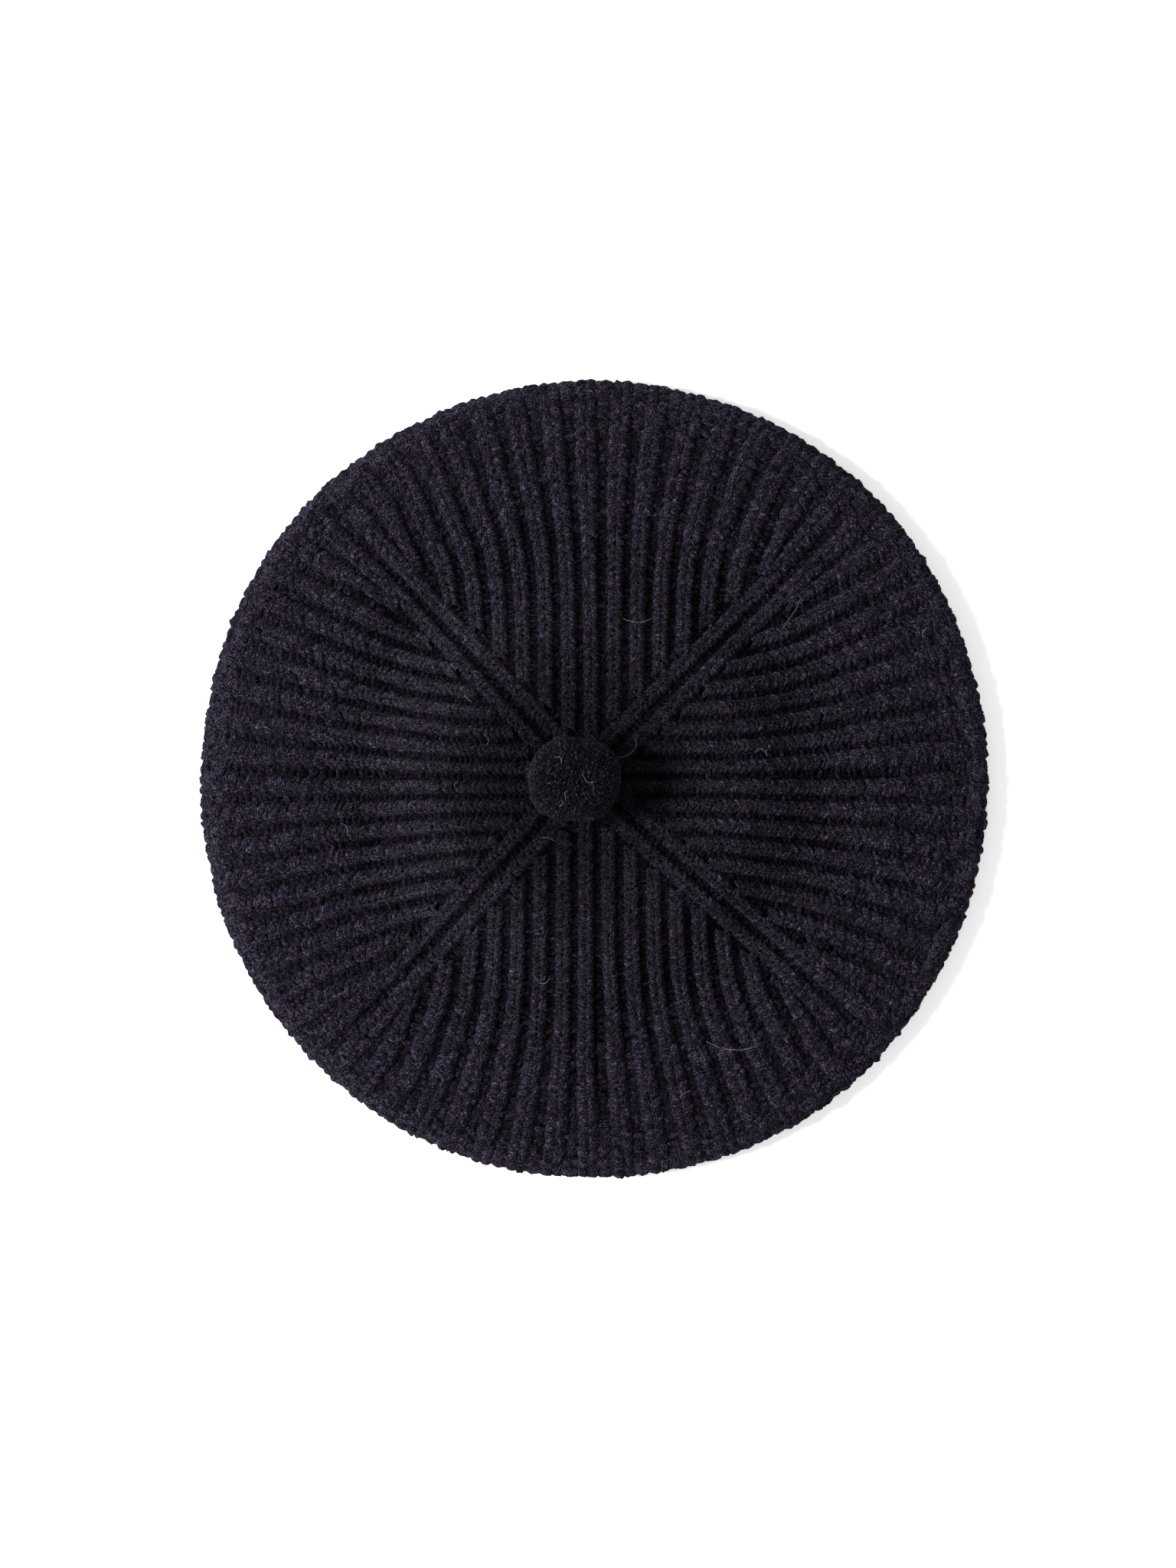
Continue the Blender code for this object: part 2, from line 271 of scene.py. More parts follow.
def parallel_line(quarter, index):
    """Plan points of a rib that leaves the diagonal parallel to its quarter's axis and bends outwards."""
    axis, (low, high), count, offset, _ = QUARTERS[quarter]
    place = index - (count - 1) / 2
    bearing = outer_angle(quarter, index) - math.radians(axis)
    bearing = (bearing + np.pi) % (2 * np.pi) - np.pi
    r = np.arange(6.0, RIM_START, 0.5)
    v = offset + place * inner_pitch(quarter, r * math.cos(bearing))
    r, v = r[np.abs(v) < r - 1], v[np.abs(v) < r - 1]
    sign = 1 if place >= 0 else -1
    ahead = sign * (np.arcsin(v / r) - bearing)
    bend = BEND_WIDTH * abs(bearing)
    turn = (ahead + np.sqrt(ahead ** 2 + bend ** 2)) / 2
    angle = math.radians(axis) + bearing + sign * turn * settle(r)
    points = polar(r, angle)
    reach = np.full(len(r), 1e9)
    for degrees, side in ((low, 1), (high, -1)):
        start, run = diagonal_line(degrees)
        left = np.array([-run[1], run[0]]) * side
        reach = np.minimum(reach, (points - start) @ left)
    centre_gap = np.hypot(*(points - CENTRE).T)
    hidden = np.nonzero((reach < DIAGONAL_PITCH * 0.86) & (r < TURN_END) | (centre_gap < 9))[0]
    return points[hidden[-1] + 1:]


def diagonal_rib(quarter, index):
    """Plan points of a rib, or the valley, that follows a diagonal out from the centre."""
    _, (low, high), count, _, _ = QUARTERS[quarter]
    from_edge = min(index, count - 1 - index)
    degrees, side = (low, 1) if index < count / 2 else (high, -1)
    start, run = diagonal_line(degrees)
    left = np.array([-run[1], run[0]]) * side
    t = np.arange(8.0, RIM_START + 4, 0.5)
    points = start + t[:, None] * run + (from_edge + 0.5) * DIAGONAL_PITCH * left
    r = np.hypot(points[:, 0], points[:, 1])
    angle = np.arctan2(points[:, 1], points[:, 0])
    off = (outer_angle(quarter, index) - angle + np.pi) % (2 * np.pi) - np.pi
    angle = angle + off * smooth(TURN_START - 14, TURN_END, r)
    points = polar(r, angle)
    return points[r < RIM_START]


def rib_line(quarter, index):
    """Plan points of any rib or valley, out to where the rim starts to turn down."""
    count = QUARTERS[quarter][2]
    if min(index, count - 1 - index) < 0.6:
        return diagonal_rib(quarter, index)
    return parallel_line(quarter, index)


def make_rib(quarter, index):
    """A whole rib: over the crown, round the rim and in along the underside."""
    _, (low, high), count, _, _ = QUARTERS[quarter]
    plan = rib_line(quarter, index)
    x, y = plan[:, 0], plan[:, 1]
    top = np.column_stack([plan, crown_height(x, y)])
    bearing = outer_angle(quarter, index)
    out = np.array([math.cos(bearing), math.sin(bearing), 0])
    below = MERIDIAN[:, :1] * out + MERIDIAN[:, 1:] * np.array([0, 0, 1])
    below_normal = MERIDIAN_NORMAL[:, :1] * out + MERIDIAN_NORMAL[:, 1:] * np.array([0, 0, 1])
    points = stretch_outline(np.concatenate([top, below]))
    normals = np.concatenate([crown_normal(x, y), below_normal])
    r = np.hypot(points[:, 0], points[:, 1])
    radial = r * math.radians(high - low) / count
    on_top = np.arange(len(points)) < len(top)
    inner = line_spacing(plan, quarter, index)
    inner = np.concatenate([inner, np.full(len(below), inner[-1])])
    mix = np.where(on_top, smooth(TURN_START, TURN_END, r), 1.0)
    settled = np.where(on_top, smooth(TURN_END, RIM_START - 6, r), 1.0)
    return Rib(points, normals, inner + (radial - inner) * settled, np.where(on_top, mix, 1.0))


def gaps_to(points, line):
    """How far each plan point is from a line of plan points."""
    return np.sqrt(((points[:, None] - line[None]) ** 2).sum(-1)).min(1)


def line_spacing(plan, quarter, index):
    """The distance between the lines half a rib either side of this one, along its plan points."""
    count = QUARTERS[quarter][2]
    sides = []
    for other in (index - 0.5, index + 0.5):
        if other < -0.5 or other > count - 0.5:
            sides.append(np.full(len(plan), DIAGONAL_PITCH / 2))
        else:
            sides.append(gaps_to(plan, rib_line(quarter, other)))
    spacing = np.clip(2 * np.minimum(sides[0], sides[1]), 6.0, 13.0)
    reach = np.ones(15) / 15
    return np.convolve(np.pad(spacing, 7, mode="edge"), reach, mode="valid")


# ---- meshes from arrays

def new_object(name, verts, faces, materials, attributes=None):
    """A mesh object from points in millimetres and an array of equal faces, or a list of such arrays."""
    groups = faces if isinstance(faces, list) else [faces]
    mesh = bpy.data.meshes.new(name)
    mesh.vertices.add(len(verts))
    mesh.vertices.foreach_set("co", (np.asarray(verts) * MM).astype(np.float32).ravel())
    sizes = np.concatenate([np.full(len(g), g.shape[1]) for g in groups])
    corners = np.concatenate([g.ravel() for g in groups]).astype(np.int32)
    mesh.loops.add(len(corners))
    mesh.loops.foreach_set("vertex_index", corners)
    mesh.polygons.add(len(sizes))
    starts = np.concatenate([[0], np.cumsum(sizes)[:-1]]).astype(np.int32)
    mesh.polygons.foreach_set("loop_start", starts)
    mesh.polygons.foreach_set("use_smooth", np.ones(len(sizes), bool))
    for key, values in (attributes or {}).items():
        values = np.asarray(values, np.float32)
        kind, field = ("FLOAT", "value") if values.ndim == 1 else ("FLOAT_VECTOR", "vector")
        mesh.attributes.new(key, kind, "POINT").data.foreach_set(field, values.ravel())
    mesh.update(calc_edges=True)
    mesh.validate()
    for mat in materials:
        mesh.materials.append(mat)
    ob = bpy.data.objects.new(name, mesh)
    bpy.context.scene.collection.objects.link(ob)
    return ob


def lumps(points):
    """An even, slow noise between about -1 and 1, with lumps one to two millimetres across."""
    x, y, z = np.moveaxis(points, -1, 0)
    return (
        np.sin(2.9 * x + 1.7 * y + 0.4) * np.sin(2.3 * y - 1.9 * z + 1.1)
        + np.sin(3.7 * y - 2.6 * x + 2.0) * np.sin(4.1 * x + 2.2 * z + 0.3)
    ) / 1.4


def tubes(paths, up, radii, heights, sides, ply, rough):
    """Closed tubes along many paths: points, faces, yarn coordinates and heights over the fabric.

    paths and up are (tubes, points, 3) and radii (tubes, points). ply swells the section in two lobes
    that twist along the tube, as two plied strands do, and rough makes its surface uneven. The yarn
    coordinates run round and along each tube, so that a material can lay fibres along it.
    """
    count, steps, _ = paths.shape
    run = np.gradient(paths, axis=1)
    run /= np.linalg.norm(run, axis=2, keepdims=True) + 1e-9
    side = np.cross(run, up)
    side /= np.linalg.norm(side, axis=2, keepdims=True) + 1e-9
    rise = np.cross(side, run)
    length = np.linalg.norm(np.diff(paths, axis=1), axis=2)
    along = np.concatenate([np.zeros((count, 1)), np.cumsum(length, axis=1)], axis=1)
    turn = np.arange(sides) / sides * 2 * np.pi
    twist = along[:, :, None] * (2 * np.pi / YARN_TURN) + rng.uniform(0, 6.28, (count, 1, 1))
    lobes = 1 + ply * np.cos(2 * turn[None, None, :] - twist) + rng.normal(0, rough, (count, steps, sides))
    round_it = side[:, :, None, :] * np.cos(turn)[:, None]
    spot = paths[:, :, None, :] + round_it + rise[:, :, None, :] * np.sin(turn)[:, None]
    reach = radii[:, :, None] * lobes * (1 + LUMPS * lumps(spot))
    verts = (
        paths[:, :, None, :]
        + side[:, :, None, :] * (reach * np.cos(turn))[..., None]
        + rise[:, :, None, :] * (reach * np.sin(turn) * TUBE_FLAT)[..., None]
    )
    yarn = np.empty((count, steps, sides, 3))
    yarn[..., 0] = np.cos(turn - 0.6 * twist) * radii[:, :, None]
    yarn[..., 1] = np.sin(turn - 0.6 * twist) * radii[:, :, None]
    yarn[..., 2] = 0.42 * along[:, :, None]
    yarn += rng.uniform(0, 200, (count, 1, 1, 3))
    ring = np.arange(sides)
    quad = np.stack([ring, (ring + 1) % sides, (ring + 1) % sides + sides, ring + sides], -1)
    body = (quad[None] + (np.arange(steps - 1) * sides)[:, None, None]).reshape(-1, 4)
    step = steps * sides
    bases = (np.arange(count) * step)[:, None, None]
    walls = (body[None] + bases).reshape(-1, 4)
    caps = np.stack([ring[::-1], ring + (steps - 1) * sides])
    ends = (caps[None] + bases).reshape(-1, sides)
    over = heights[:, :, None] + reach * np.sin(turn) * TUBE_FLAT
    return verts.reshape(-1, 3), [walls, ends], yarn.reshape(-1, 3), over.ravel(), step


def plain_wool(count, shade):
    """The attributes of a mesh that has no stitches of its own."""
    return {"tone": np.full(count, 0.5), "shade": np.full(count, shade)}


def ribbons(paths, up, width):
    """Flat fibres along many paths, as points and faces."""
    count, steps, _ = paths.shape
    run = np.gradient(paths, axis=1)
    side = np.cross(run, up)
    side /= np.linalg.norm(side, axis=2, keepdims=True) + 1e-9
    half = side * (width / 2)[:, :, None]
    verts = np.stack([paths - half, paths + half], 2).reshape(-1, 3)
    k = np.arange(steps - 1) * 2
    quad = np.stack([k, k + 1, k + 3, k + 2], -1)
    faces = (quad[None] + (np.arange(count) * steps * 2)[:, None, None]).reshape(-1, 4)
    return verts, faces, steps * 2


# ---- materials

def nodes_of(name):
    mat = bpy.data.materials.new(name)
    mat.use_nodes = True
    tree = mat.node_tree
    return mat, tree, tree.nodes["Principled BSDF"]


def set_inputs(node, values):
    for key, value in values.items():
        node.inputs[key].default_value = value


def add(tree, kind, values=None, **props):
    node = tree.nodes.new(kind)
    for key, value in props.items():
        setattr(node, key, value)
    set_inputs(node, values or {})
    return node


def total(tree, one, two):
    node = add(tree, "ShaderNodeMath", operation="ADD")
    tree.links.new(one, node.inputs[0])
    tree.links.new(two, node.inputs[1])
    return node.outputs[0]


def raise_surface(tree, shader, height, strength, distance):
    bump = add(tree, "ShaderNodeBump", {"Strength": strength, "Distance": distance})
    tree.links.new(height, bump.inputs["Height"])
    tree.links.new(bump.outputs["Normal"], shader.inputs["Normal"])


def ramp(tree, factor, stops, scale=1.0):
    """A colour ramp; scale brings stops given on a longer range back to 0..1."""
    if scale != 1.0:
        shrink = add(tree, "ShaderNodeMath", operation="MULTIPLY")
        shrink.inputs[1].default_value = scale
        tree.links.new(factor, shrink.inputs[0])
        factor = shrink.outputs[0]
    node = tree.nodes.new("ShaderNodeValToRGB")
    elements = node.color_ramp.elements
    while len(elements) < len(stops):
        elements.new(0.5)
    for element, (place, colour) in zip(elements, stops):
        element.position = place * scale
        element.color = (*colour, 1)
    tree.links.new(factor, node.inputs["Fac"])
    return node.outputs["Color"]


def noise(tree, coords, scale, detail=3.0, rough=0.6):
    node = add(tree, "ShaderNodeTexNoise", {"Scale": scale, "Detail": detail, "Roughness": rough})
    tree.links.new(coords, node.inputs["Vector"])
    return node.outputs["Fac"]


def multiply(tree, one, two):
    """The product of two colours."""
    node = add(tree, "ShaderNodeMix", {"Factor": 1.0}, data_type="RGBA", blend_type="MULTIPLY")
    colours = [socket for socket in node.inputs if socket.type == "RGBA"]
    tree.links.new(one, colours[0])
    tree.links.new(two, colours[1])
    return next(socket for socket in node.outputs if socket.type == "RGBA")


def attribute(tree, key):
    node = tree.nodes.new("ShaderNodeAttribute")
    node.attribute_name = key
    return node


def wool(name, dark, body, light, by_yarn=True, stitched=True, sheen=0.03):
    """Heathered woollen yarn: dark, violet and pale fibres carded together, with a napped surface.

    by_yarn lays the fibres along each yarn; stitched lets each stitch have its own tone, and multiplies in
    the painted shade held in its shade attribute.
    """
    mat, tree, shader = nodes_of(name)
    place = tree.nodes.new("ShaderNodeTexCoord").outputs["Object"]
    if by_yarn:
        fibres = noise(tree, attribute(tree, "yarn").outputs["Vector"], 2.2, 4.0, 0.75)
    else:
        fibres = noise(tree, place, 2600.0, 4.0, 0.72)
    grain = noise(tree, place, 1700.0, 3.0, 0.68)
    both = total(tree, fibres, grain)
    heather = ramp(tree, both, [(0.82, dark), (0.96, body), (1.02, body), (1.20, light)], 0.5)
    cloud = noise(tree, place, 420.0, 2.0, 0.5)
    clouds = ramp(tree, cloud, [(0.32, (0.62, 0.62, 0.60)), (0.68, (1.38, 1.38, 1.40))])
    hue = noise(tree, place, 210.0, 2.0, 0.5)
    hues = ramp(tree, hue, [(0.34, (0.95, 1.0, 1.06)), (0.5, (1.0, 1.0, 1.0)), (0.66, (1.13, 0.97, 1.0))])
    shade = multiply(tree, multiply(tree, heather, clouds), hues)
    if stitched:
        tone = attribute(tree, "tone").outputs["Fac"]
        tones = ramp(tree, tone, [(0.0, (0.62, 0.62, 0.63)), (1.0, (1.40, 1.39, 1.40))])
        shade = multiply(tree, shade, tones)
        shade = multiply(tree, shade, attribute(tree, "shade").outputs["Color"])
    tree.links.new(shade, shader.inputs["Base Color"])
    set_inputs(shader, {
        "Roughness": 1.0, "Specular IOR Level": 0.02, "Sheen Weight": sheen, "Sheen Roughness": 0.5,
        "Sheen Tint": (0.60, 0.55, 0.75, 1),
    })
    raise_surface(tree, shader, both, 1.0, 0.0004)
    return mat


def woven(name, colour, threads, rough, gloss):
    """Satin ribbon or sewing thread: fine crossing threads that shade the colour and raise the surface."""
    mat, tree, shader = nodes_of(name)
    place = tree.nodes.new("ShaderNodeTexCoord").outputs["Object"]
    rows = []
    for direction in ("X", "Z"):
        wave = add(
            tree, "ShaderNodeTexWave", {"Scale": threads, "Distortion": 1.5, "Detail": 2.0},
            wave_type="BANDS", bands_direction=direction,
        )
        tree.links.new(place, wave.inputs["Vector"])
        rows.append(wave.outputs["Fac"])
    both = total(tree, *rows)
    dim = tuple(0.72 * c for c in colour)
    bright = tuple(min(1.0, 1.1 * c) for c in colour)
    tree.links.new(ramp(tree, both, [(0.2, dim), (1.8, bright)], 0.5), shader.inputs["Base Color"])
    set_inputs(shader, {"Roughness": rough, "Specular IOR Level": gloss})
    raise_surface(tree, shader, both, 0.5, 0.0001)
    return mat


def fibre_material(name, dark, light):
    """Single loose fibres; each one has its own tone."""
    mat, tree, shader = nodes_of(name)
    tone = attribute(tree, "tone").outputs["Fac"]
    tree.links.new(ramp(tree, tone, [(0.0, dark), (1.0, light)]), shader.inputs["Base Color"])
    set_inputs(shader, {"Roughness": 0.6, "Specular IOR Level": 0.3, "Sheen Weight": 0.1})
    return mat


KNIT = wool("knitted_wool", (0.0007, 0.0005, 0.0012), (0.0045, 0.0036, 0.0072), (0.068, 0.058, 0.092))
# The stitches' wool, painted darker: painted shade of the fabric seen deep between the stitches
SHADED_GROUND = wool(
    "wool_ground_painted_shade", (0.0007, 0.0006, 0.001), (0.0028, 0.0024, 0.004), (0.014, 0.012, 0.018), False, sheen=0.0
)
BAND = wool("band_wool", (0.0007, 0.0005, 0.0012), (0.0045, 0.0036, 0.0072), (0.062, 0.053, 0.084))
PILE = wool("cut_pile_wool", (0.0004, 0.0003, 0.0007), (0.0040, 0.0032, 0.0060), (0.060, 0.050, 0.080))
YARN = wool(
    "tie_wool", (0.0010, 0.0008, 0.0014), (0.0066, 0.0055, 0.0088), (0.030, 0.026, 0.037), False, False
)
SATIN = woven("label_satin_weave", (0.62, 0.60, 0.56), 1200.0, 0.38, 0.5)
THREAD = woven("label_thread_twist", (0.55, 0.53, 0.50), 1500.0, 0.6, 0.3)
FUZZ = fibre_material("loose_fibres", (0.002, 0.0018, 0.003), (0.10, 0.09, 0.125))
# paler than the loose fibres: painted sheen of the fuzz halo round the rim
RIM_FUZZ_PAINTED_SHEEN = fibre_material("rim_fibres_painted_sheen", (0.004, 0.0035, 0.006), (0.20, 0.175, 0.25))
LINT = fibre_material("stray_pale_fibres", (0.09, 0.085, 0.095), (0.30, 0.28, 0.31))


# ---- knitted stitches

def v_legs(rib, stations, stitch, lift, fat, steps, reach, spread, blunt):
    """Both legs of the V at each station: paths, their up directions, their radii and heights."""
    width = rib_width(rib, stations)
    reach = reach * stitch
    thick = fat * stitch * np.sin(np.arctan2(0.46 * width, reach))
    t = np.linspace(0, 1, steps)
    legs = []
    for sign in (-1, 1):
        jitter = rng.normal(0, 1, (len(stations), 5))
        s = stations[:, None] - reach * t * (1 + 0.08 * jitter[:, 4:5]) + jitter[:, :1] * 0.09 * stitch
        across = spread[0] + (spread[1] - spread[0]) * t ** 0.9
        b = sign * across * width[:, None] * (1 + 0.07 * jitter[:, 1:2])
        crest = RIB_CREST - thick[:, None] * 0.8 + lift + 0.16 * jitter[:, 2:3]
        fall = RIB_DROP * (2 * np.abs(b) / width[:, None]) ** 2.2
        dive = (0.9 - 0.9 * blunt) * (1 - t) ** 3 + 0.75 * t ** 5 - 0.25 * np.sin(np.pi * t)
        c = crest - fall - dive * thick[:, None] * 1.3
        s = np.clip(s, 0.05, rib.length - 0.05)
        swell = blunt + (1 - blunt) * np.sin(np.pi * np.clip(t * 0.94 + 0.05, 0, 1)) ** 0.7
        radii = thick[:, None] * swell * (1 + 0.12 * jitter[:, 3:4])
        radii[:, 0] *= 0.8
        radii[:, -1] *= 0.5
        legs.append((rib.place(s, b, c), rib.at(rib.normals, s), radii, c))
    return legs


def rib_width(rib, s):
    """The visible width of a rib, wider against its pitch on the brim than on the crown."""
    pitch = rib.at(rib.pitch, s)
    share = 0.63 + 0.05 * rib.at(rib.outer, s)
    return np.clip(pitch * share, 3.6, 8.4)


def station_rows(low, high, stitch):
    """Stations along a rib between low and high, with one random start."""
    start = low + rng.uniform(0, stitch)
    return np.arange(start, high, stitch)


def zones(rib):
    """Run lengths at which the rib enters the brim, the rim and the underside."""
    r = np.hypot(rib.points[:, 0], rib.points[:, 1])
    turn = rib.run[np.argmax(r > (TURN_START + TURN_END) / 2 - 1)]
    under = rib.length - MERIDIAN_RUN[-1] + np.pi * RIM * 0.86
    return turn, under


def stitches_of(rib):
    """All the V legs of one rib, sorted into crown, brim and underside."""
    turn, under = zones(rib)
    made = {"crown": [], "brim": [], "underside": []}
    rows = station_rows(1.2, turn, INNER_STITCH)
    if len(rows):
        made["crown"] += v_legs(rib, rows, INNER_STITCH, *CROWN_LEG)
    rows = station_rows(turn, under, OUTER_STITCH / 2)
    made["brim"] += v_legs(rib, rows, OUTER_STITCH, *BRIM_LEG)
    rows = station_rows(under, rib.length - 1, OUTER_STITCH / 2)
    made["underside"] += v_legs(rib, rows, OUTER_STITCH, *UNDERSIDE_LEG)
    return made


def purl_bumps(rib, rows, depth, fat, bow, steps=8):
    """The bumps that lie across a valley, bowed towards the rim or the crown."""
    width = rib.at(rib.pitch, rows) - rib_width(rib, rows)
    t = np.linspace(-1, 1, steps)
    jitter = rng.normal(0, 1, (len(rows), 4))
    s = rows[:, None] + jitter[:, 3:4] * bow * (0.5 - t ** 2) + jitter[:, :1] * (0.25 + bow * t)
    b = (width / 2 + 0.7)[:, None] * t + jitter[:, 1:2] * 0.35
    c = depth + 0.55 * (1 - t ** 2) + 0.22 * jitter[:, 2:3] + 0 * s
    s = np.clip(s, 0.05, rib.length - 0.05)
    radii = fat * (0.75 + 0.25 * (1 - t ** 2)) * np.ones_like(s)
    return [(rib.place(s, b, c), rib.at(rib.normals, s), radii, c)]


def valleys_of(rib):
    """All the purl bumps of one valley, sorted in the same way."""
    turn, under = zones(rib)
    made = {"crown": [], "brim": [], "underside": []}
    rows = station_rows(0.5, turn, INNER_STITCH)
    if len(rows):
        made["crown"] += purl_bumps(rib, rows, VALLEY - 0.5, 0.85, 0.4)
    rows = station_rows(turn, under, OUTER_STITCH / 2)
    r = np.hypot(*rib.at(rib.points, rows)[:, :2].T)
    fill = 1.15 * smooth(116, RIM_START + 6, r) + 0.6 * smooth(RIM_START, RIM_START + 4, r)
    made["brim"] += purl_bumps(rib, rows, (VALLEY - 0.4 + fill)[:, None], 1.25, 0.55)
    rows = station_rows(under, rib.length - 1, OUTER_STITCH / 2)
    made["underside"] += purl_bumps(rib, rows, VALLEY + 0.4, 1.15, 0.5, 6)
    return made


def depth_shade(height):
    """Painted shade: how bright the wool's colour is against its height over the fabric, darkest deep in the
    valleys.
    """
    return DEEP_SHADE + (1 - DEEP_SHADE) * smooth(DEEP, RIB_CREST - 0.2, height)


def painted_pompom_shade(points):
    """Painted shade: how bright the wool's colour is against its distance from the pom-pom, darker in the
    dimple round it.
    """
    r = np.hypot(points[..., 0] - CENTRE[0], points[..., 1] - CENTRE[1])
    return PAINTED_POMPOM_SHADE + (1 - PAINTED_POMPOM_SHADE) * smooth(16, 68, r)


def make_tube_object(name, parts, material, sides, ply=0.12, rough=0.05, pompom_shading=painted_pompom_shade):
    """One object from many bundles of tubes."""
    by_steps = {}
    for bundle in parts:
        by_steps.setdefault(bundle[0].shape[1], []).append(bundle)
    made = []
    base = 0
    for _, bundles in sorted(by_steps.items()):
        paths, up, radii, heights = (np.concatenate(part) for part in zip(*bundles))
        v, (walls, ends), yarn, over, per_tube = tubes(paths, up, radii, heights, sides, ply, rough)
        v[:, 2] = np.maximum(v[:, 2], TABLE_GAP)
        tone = np.repeat(rng.uniform(0, 1, len(paths)), per_tube)
        # painted shade: darker deeper in the fabric and nearer the pom-pom
        made.append((v, walls + base, ends + base, tone, yarn, depth_shade(over) * pompom_shading(v)))
        base += len(v)
    verts, walls, ends, tone, yarn, shade = (np.concatenate(part) for part in zip(*made))
    attributes = {"tone": tone, "yarn": yarn, "shade": shade}
    return new_object(name, verts, [walls, ends], [material], attributes)


RIB_LINES = {q: [make_rib(q, i) for i in range(QUARTERS[q][2])] for q in QUARTERS}
VALLEY_LINES = {q: [make_rib(q, i - 0.5) for i in range(QUARTERS[q][2])] for q in QUARTERS}
LAST_VALLEY = {q: make_rib(q, QUARTERS[q][2] - 0.5) for q in QUARTERS}


def knit_quarter(quarter):
    """The stitches of one quarter, as an object for each zone's ribs and one for its valleys."""
    parts = {}
    for rib in RIB_LINES[quarter]:
        for zone, made in stitches_of(rib).items():
            parts.setdefault(f"{zone}_ribs", []).extend(made)
    for rib in VALLEY_LINES[quarter]:
        for zone, made in valleys_of(rib).items():
            parts.setdefault(f"{zone}_valleys", []).extend(made)
    for zone, made in parts.items():
        sides = UNDERSIDE_SIDES if "under" in zone else SIDES
        ob = make_tube_object(f"{zone}_{quarter}", made, KNIT, sides, PLY, ROUGH)
        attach(ob, "shell")
        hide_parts(f"gore_{quarter}")


for quarter in QUARTERS:
    knit_quarter(quarter)


def gathered_centre():
    """The last stitches of the crown, drawn together round the pom-pom's tie."""
    bearing = np.arange(GATHERS) / GATHERS * 2 * np.pi + rng.normal(0, 0.05, GATHERS)
    r = np.linspace(11.5, HOLE_R + 0.55, 9)
    x = CENTRE[0] + r * np.cos(bearing)[:, None]
    y = CENTRE[1] + r * np.sin(bearing)[:, None]
    depth = np.linspace(-1.9, -1.2, len(r)) + rng.normal(0, 0.12, x.shape)
    paths = np.stack([x, y, crown_height(x, y) + depth], -1)
    up = np.broadcast_to([0.0, 0.0, 1.0], paths.shape)
    radii = np.interp(r, [2.7, 4, 11.5], [0.45, 0.75, 1.3]) * rng.uniform(0.85, 1.15, (GATHERS, 1))
    ob = make_tube_object("crown_gathers", [(paths, up, radii, depth)], KNIT, SIDES, PLY, ROUGH)
    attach(ob, "shell")


gathered_centre()


# ---- ground of the fabric

def plan_tree(lines):
    """A lookup of all the plan points of some ribs or valleys."""
    points = np.concatenate([line.points[:, :2] for line in lines])
    tree = KDTree(len(points))
    for k, (x, y) in enumerate(points):
        tree.insert((x, y, 0), k)
    tree.balance()
    return tree


def valley_phase(points, quarter):
    """0 on a rib's centre line and 1 in the middle of a valley, for points of the crown and brim."""
    ribs, valleys = plan_tree(RIB_LINES[quarter]), plan_tree(VALLEY_LINES[quarter] + [LAST_VALLEY[quarter]])
    flat = points[..., :2].reshape(-1, 2)
    to_rib = np.array([ribs.find((x, y, 0))[2] for x, y in flat])
    to_valley = np.array([valleys.find((x, y, 0))[2] for x, y in flat])
    return (to_rib / (to_rib + to_valley + 1e-6)).reshape(points.shape[:-1])


def closed_sheet(outer, inner):
    """Points and faces of the closed body between two grids of points."""
    rows, columns = outer.shape[:2]
    half = rows * columns
    verts = np.concatenate([outer.reshape(-1, 3), inner.reshape(-1, 3)])
    k = np.arange(half).reshape(rows, columns)
    sheet = np.stack([k[:-1, :-1], k[1:, :-1], k[1:, 1:], k[:-1, 1:]], -1).reshape(-1, 4)
    edge = np.concatenate([k[0, :], k[1:, -1], k[-1, -2::-1], k[-2:0:-1, 0]])
    after = np.roll(edge, -1)
    walls = np.stack([edge, after, after + half, edge + half], -1)
    return verts, np.concatenate([sheet, sheet[:, ::-1] + half, walls])


